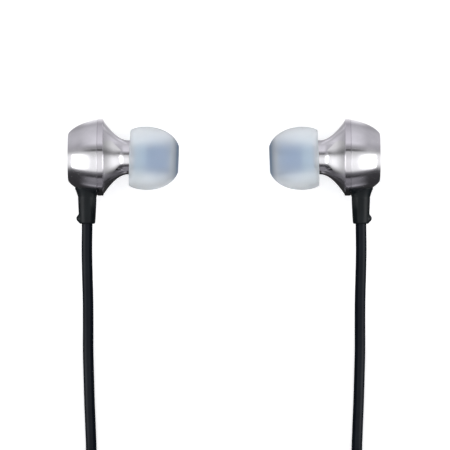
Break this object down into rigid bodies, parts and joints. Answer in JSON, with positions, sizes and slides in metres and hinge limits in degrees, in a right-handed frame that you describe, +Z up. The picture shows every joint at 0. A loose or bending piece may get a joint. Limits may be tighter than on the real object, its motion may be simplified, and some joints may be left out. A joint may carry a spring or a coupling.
{
  "type": "wired earphones",
  "caption": "In-ear earphones: two metal housings with silicone tips on a Y cord that ends in a right-angle 3.5 mm plug.",
  "frame": {"origin": "on the surface the earphones lie on, below the middle of the line between the two housings", "axes": "+X from the left housing to the right one along their common axis, -Y the way the cords leave, +Z up from the surface"},
  "size_m": [0.0594, 0.1265, 0.0146],
  "materials": {
    "satin_shell": "satin anodised, silver with a slight violet cast",
    "polished_trim": "polished plated ring",
    "turned_nozzle": "fine turned",
    "steel_mesh": "fine woven mesh",
    "tip_silicone": "translucent pale blue silicone, satin",
    "moulded_frame": "glass-filled plastic",
    "plated_steel": "zinc plated",
    "plated_magnet": "nickel plated",
    "coil_wire": "enamelled copper winding",
    "diaphragm_film": "thin formed film",
    "circuit_board": "solder mask",
    "wire_insulation": "enamelled wire",
    "moulded_rubber": "satin moulded elastomer",
    "cord_jacket": "smooth satin jacket, near black with a blue cast",
    "moulded_plastic": "fine spark texture",
    "strap_fabric": "hook and loop tape",
    "gold_contact": "gold plated, polished",
    "insulator_plastic": "moulded"
  },
  "bodies": {
    "housings_and_cord": {"left_rear_shell": "satin_shell", "left_trim_ring": "polished_trim", "left_front_shell": "satin_shell", "left_nozzle": "turned_nozzle", "left_nozzle_screen": "steel_mesh", "left_driver_frame": "moulded_frame", "left_yoke": "plated_steel", "left_magnet": "plated_magnet", "left_pole_plate": "plated_steel", "left_driver_cover": "plated_steel", "left_terminal_board": "circuit_board", "left_signal_wires": "wire_insulation", "left_vent_screen": "steel_mesh", "left_strain_relief": "moulded_rubber", "left_cord_clamp": "plated_steel", "left_cord": "cord_jacket", "left_cord_coil": "cord_jacket", "left_cord_tail": "cord_jacket", "right_rear_shell": "satin_shell", "right_trim_ring": "polished_trim", "right_front_shell": "satin_shell", "right_nozzle": "turned_nozzle", "right_nozzle_screen": "steel_mesh", "right_driver_frame": "moulded_frame", "right_yoke": "plated_steel", "right_magnet": "plated_magnet", "right_pole_plate": "plated_steel", "right_driver_cover": "plated_steel", "right_terminal_board": "circuit_board", "right_signal_wires": "wire_insulation", "right_vent_screen": "steel_mesh", "right_strain_relief": "moulded_rubber", "right_cord_clamp": "plated_steel", "right_cord": "cord_jacket", "right_cord_coil": "cord_jacket", "right_cord_tail": "cord_jacket", "splitter_upper_shell": "moulded_plastic", "splitter_lower_shell": "moulded_plastic", "main_cord": "cord_jacket", "main_cord_coil": "cord_jacket", "main_cord_tail": "cord_jacket", "coil_straps": "strap_fabric", "plug_tip": "gold_contact", "plug_ring": "gold_contact", "plug_sleeve": "gold_contact", "plug_insulators": "insulator_plastic", "plug_grip": "moulded_rubber", "plug_strain_relief": "moulded_rubber"},
    "left_tip": {"left_ear_tip": "tip_silicone"},
    "right_tip": {"right_ear_tip": "tip_silicone"},
    "left_cone": {"left_voice_coil": "coil_wire", "left_diaphragm": "diaphragm_film"},
    "right_cone": {"right_voice_coil": "coil_wire", "right_diaphragm": "diaphragm_film"}
  },
  "joints": [
    {"name": "left_tip_pull", "type": "slide", "parent": "housings_and_cord", "child": "left_tip", "axis": [0.9994, -0.0349, 0], "range_m": [0, 0.008]},
    {"name": "right_tip_pull", "type": "slide", "parent": "housings_and_cord", "child": "right_tip", "axis": [-0.9994, -0.0349, 0], "range_m": [0, 0.008]},
    {"name": "left_cone_stroke", "type": "slide", "parent": "housings_and_cord", "child": "left_cone", "axis": [1, 0, 0], "range_m": [-0.00015, 0.00015], "stiffness_N_per_m": 60},
    {"name": "right_cone_stroke", "type": "slide", "parent": "housings_and_cord", "child": "right_cone", "axis": [-1, 0, 0], "range_m": [-0.00015, 0.00015], "stiffness_N_per_m": 60}
  ]
}
